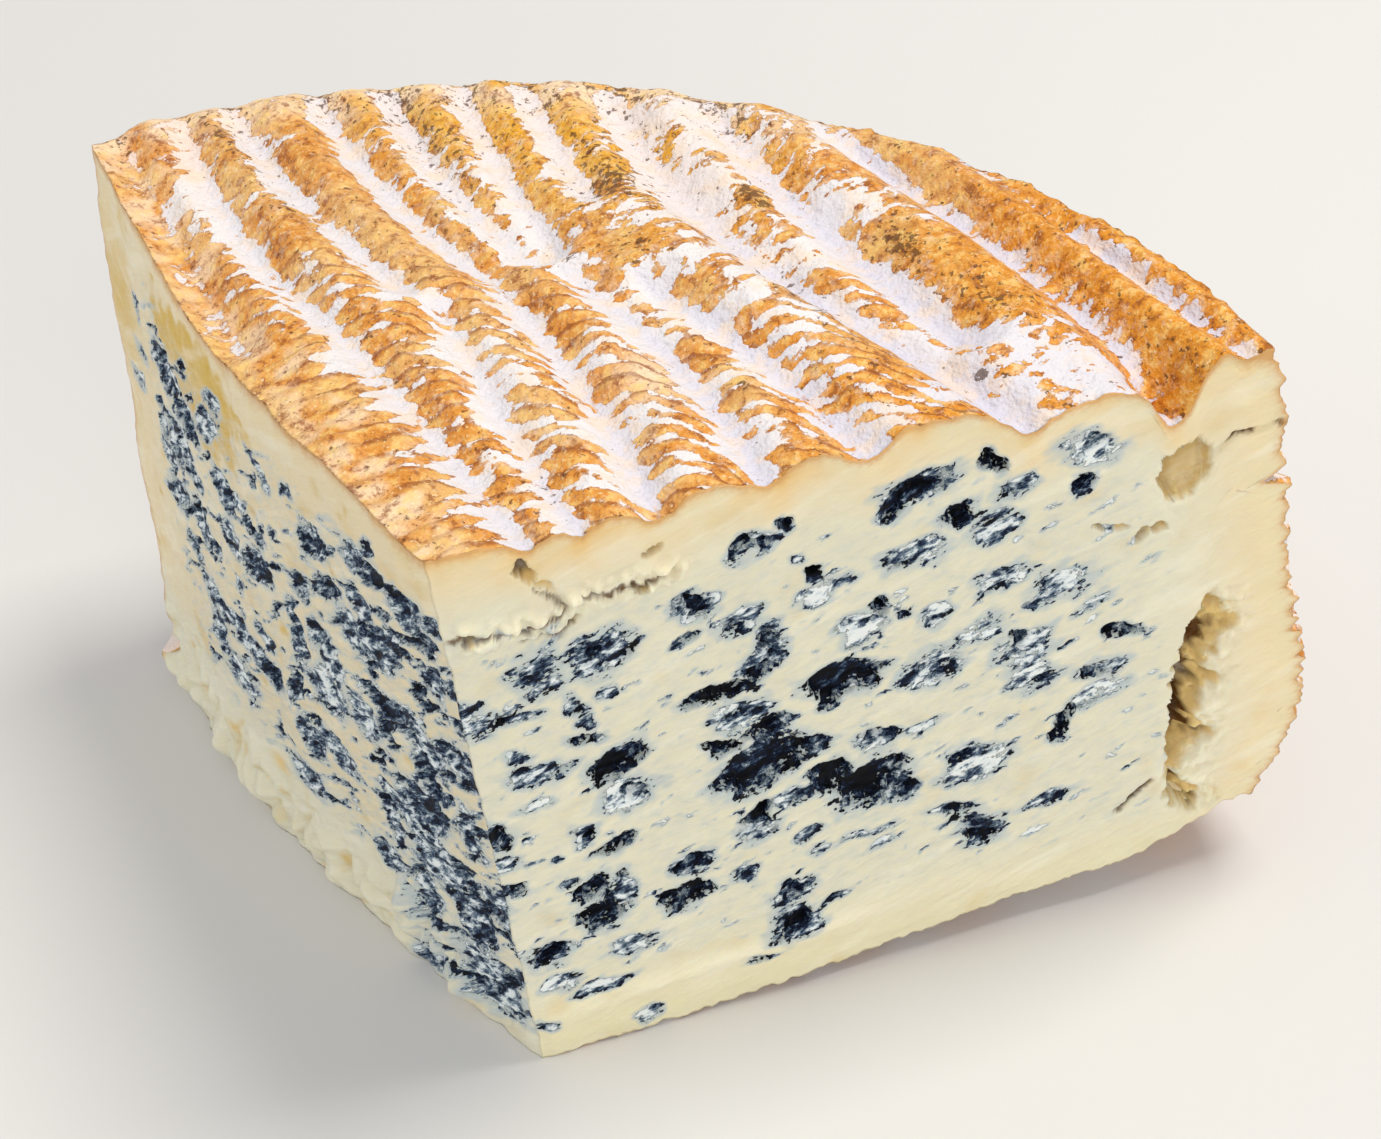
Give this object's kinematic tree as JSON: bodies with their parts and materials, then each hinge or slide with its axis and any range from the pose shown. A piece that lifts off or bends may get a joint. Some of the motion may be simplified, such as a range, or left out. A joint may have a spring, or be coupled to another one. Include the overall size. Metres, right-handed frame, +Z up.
{
  "type": "blue cheese wedge",
  "caption": "Wedge of blue-veined cheese with a ridged orange and white rind on top, round rind rim, two pitted cut faces and a flat base.",
  "frame": {"origin": "bottom centre of the wedge's bounding box, on the surface it stands on", "axes": "+Z up through the ridged rind, +Y from the wedge's tip to its round rim, +X to the right seen from the tip"},
  "size_m": [0.1392, 0.0804, 0.0743],
  "materials": {
    "cheese": null,
    "rind": "dry orange rind with a powdery white bloom"
  },
  "bodies": {
    "root": {"cheese_wedge": "cheese"}
  },
  "joints": []
}
